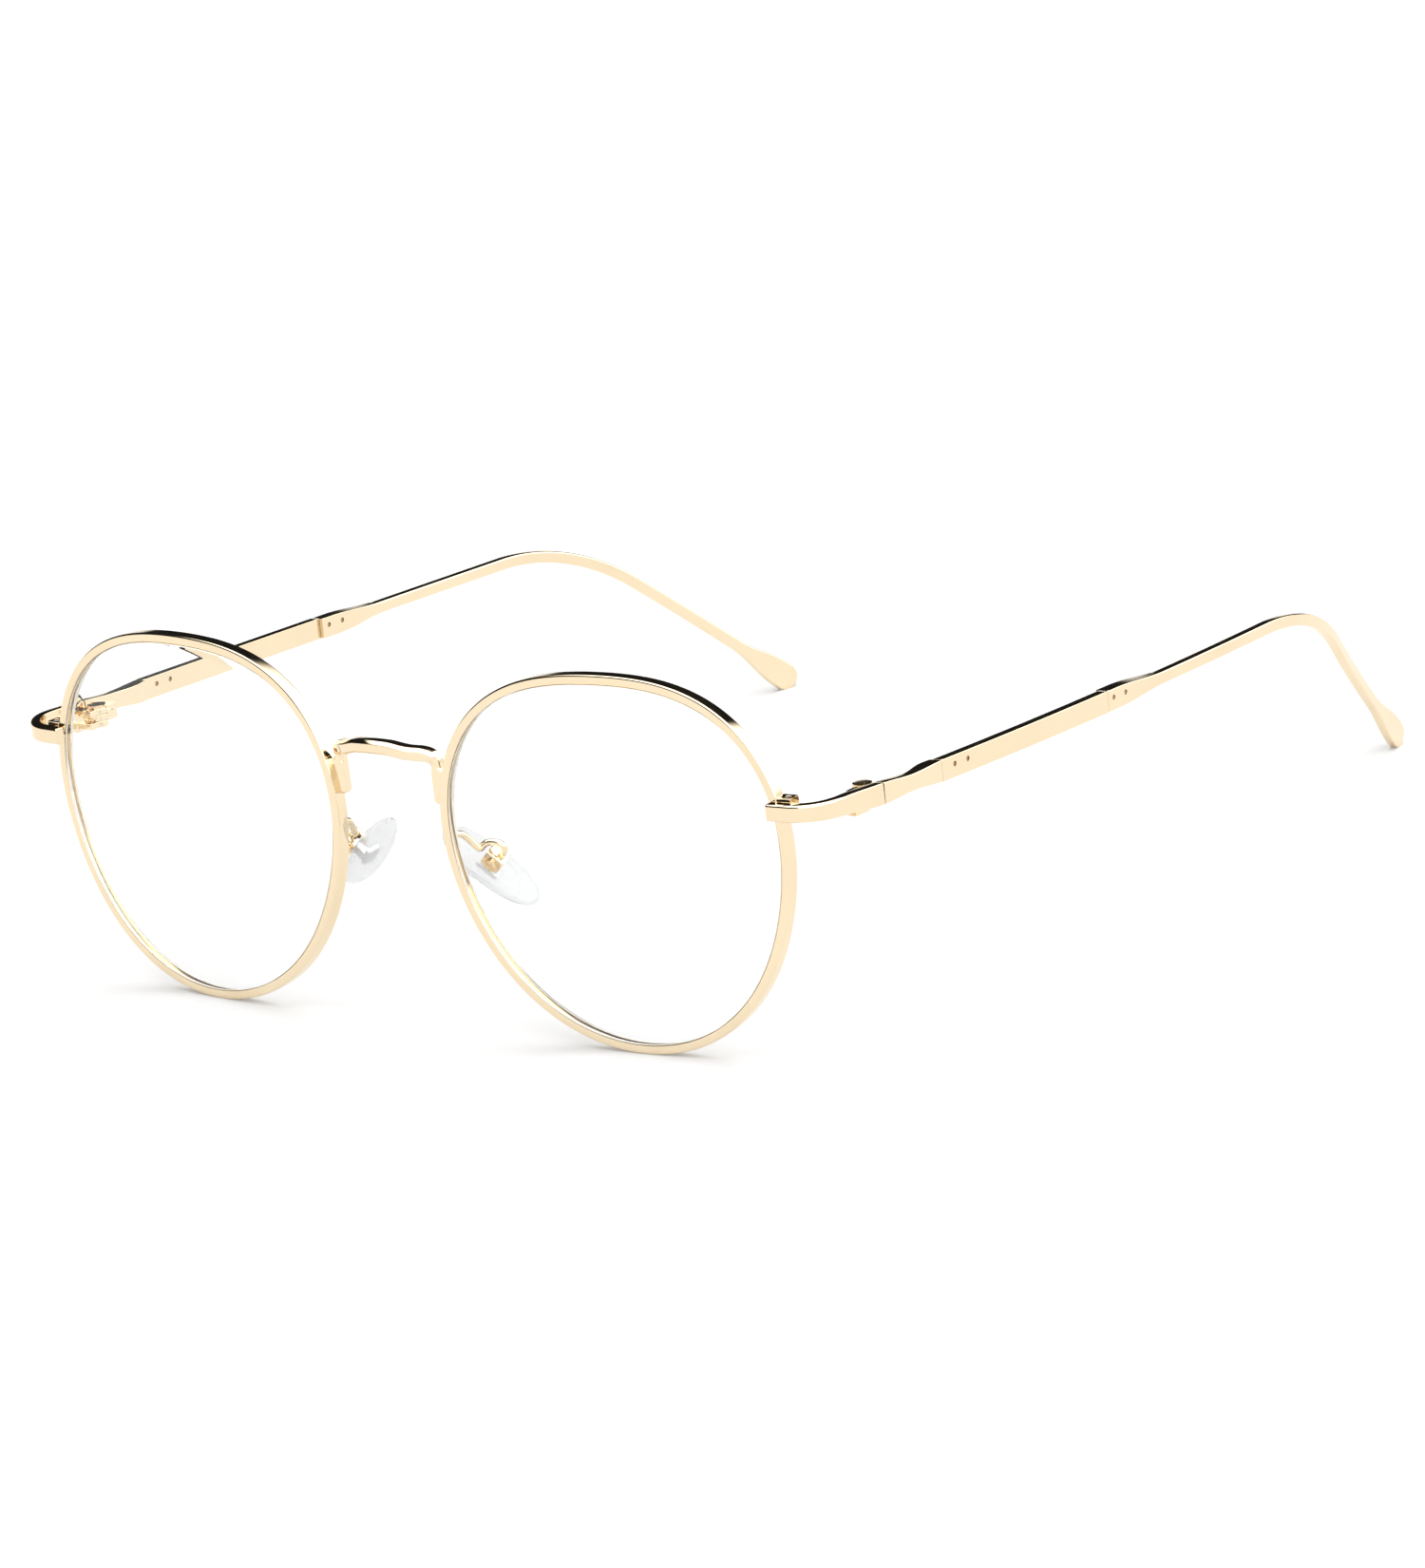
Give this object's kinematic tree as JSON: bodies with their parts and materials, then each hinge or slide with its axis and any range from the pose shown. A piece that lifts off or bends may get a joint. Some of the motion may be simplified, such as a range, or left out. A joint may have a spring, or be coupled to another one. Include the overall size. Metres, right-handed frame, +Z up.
{
  "type": "eyeglasses",
  "caption": "Round metal-rimmed eyeglasses with clear lenses, adjustable rocking nose pads and hinged three-piece temples that fold behind the front.",
  "frame": {"origin": "middle of the glasses' box at table height: x = 0 is the wearer's middle plane, y = 0 is half way from the bridge to the temple tips, z = 0 is the table under the rims' lowest points and the temple tips", "axes": "+Z up, -Y the way the wearer looks, +X the wearer's left; the temples run to +Y"},
  "size_m": [0.135, 0.1501, 0.0491],
  "materials": {
    "frame_metal": "polished, pale champagne gold plating",
    "screw_metal": "polished, slightly darker gold plating",
    "pin_metal": "satin, in shadow at the bottom of shallow recesses",
    "lens": "clear, polished, no tint",
    "pad_metal": "satin",
    "pad_silicone": "clear frosted silicone"
  },
  "bodies": {
    "front": {"left_rim": "frame_metal", "right_rim": "frame_metal", "left_lens": "lens", "right_lens": "lens", "bridge": "frame_metal", "left_lock_upper": "frame_metal", "right_lock_upper": "frame_metal", "left_lock_lower": "frame_metal", "right_lock_lower": "frame_metal", "left_lock_screw": "screw_metal", "right_lock_screw": "screw_metal", "left_end_piece": "frame_metal", "right_end_piece": "frame_metal", "left_hinge_front": "frame_metal", "right_hinge_front": "frame_metal", "left_hinge_screw": "screw_metal", "right_hinge_screw": "screw_metal", "left_pad_arm": "frame_metal", "right_pad_arm": "frame_metal", "left_pad_box": "frame_metal", "right_pad_box": "frame_metal", "left_pad_screw": "screw_metal", "right_pad_screw": "screw_metal"},
    "left_temple": {"left_hinge_rear": "frame_metal", "left_temple_root": "frame_metal", "left_temple_blade": "frame_metal", "left_temple_tail": "frame_metal", "left_temple_pins": "pin_metal"},
    "right_temple": {"right_hinge_rear": "frame_metal", "right_temple_root": "frame_metal", "right_temple_blade": "frame_metal", "right_temple_tail": "frame_metal", "right_temple_pins": "pin_metal"},
    "left_pad": {"left_pad_insert": "pad_metal", "left_nose_pad": "pad_silicone"},
    "right_pad": {"right_pad_insert": "pad_metal", "right_nose_pad": "pad_silicone"}
  },
  "joints": [
    {"name": "left_temple_fold", "type": "hinge", "parent": "front", "child": "left_temple", "pos_m": [0.0639, -0.05647, 0.03205], "axis": [0, 0, 1], "range_deg": [0, 89]},
    {"name": "right_temple_fold", "type": "hinge", "parent": "front", "child": "right_temple", "pos_m": [-0.0639, -0.05647, 0.03205], "axis": [0, 0, -1], "range_deg": [0, 84]},
    {"name": "left_pad_rock", "type": "hinge", "parent": "front", "child": "left_pad", "pos_m": [0.0116, -0.06661, 0.02214], "axis": [-0.2535, 0.9449, 0.2069], "range_deg": [-8, 8]},
    {"name": "right_pad_rock", "type": "hinge", "parent": "front", "child": "right_pad", "pos_m": [-0.0116, -0.06661, 0.02214], "axis": [-0.2535, -0.9449, -0.2069], "range_deg": [-8, 8]}
  ]
}
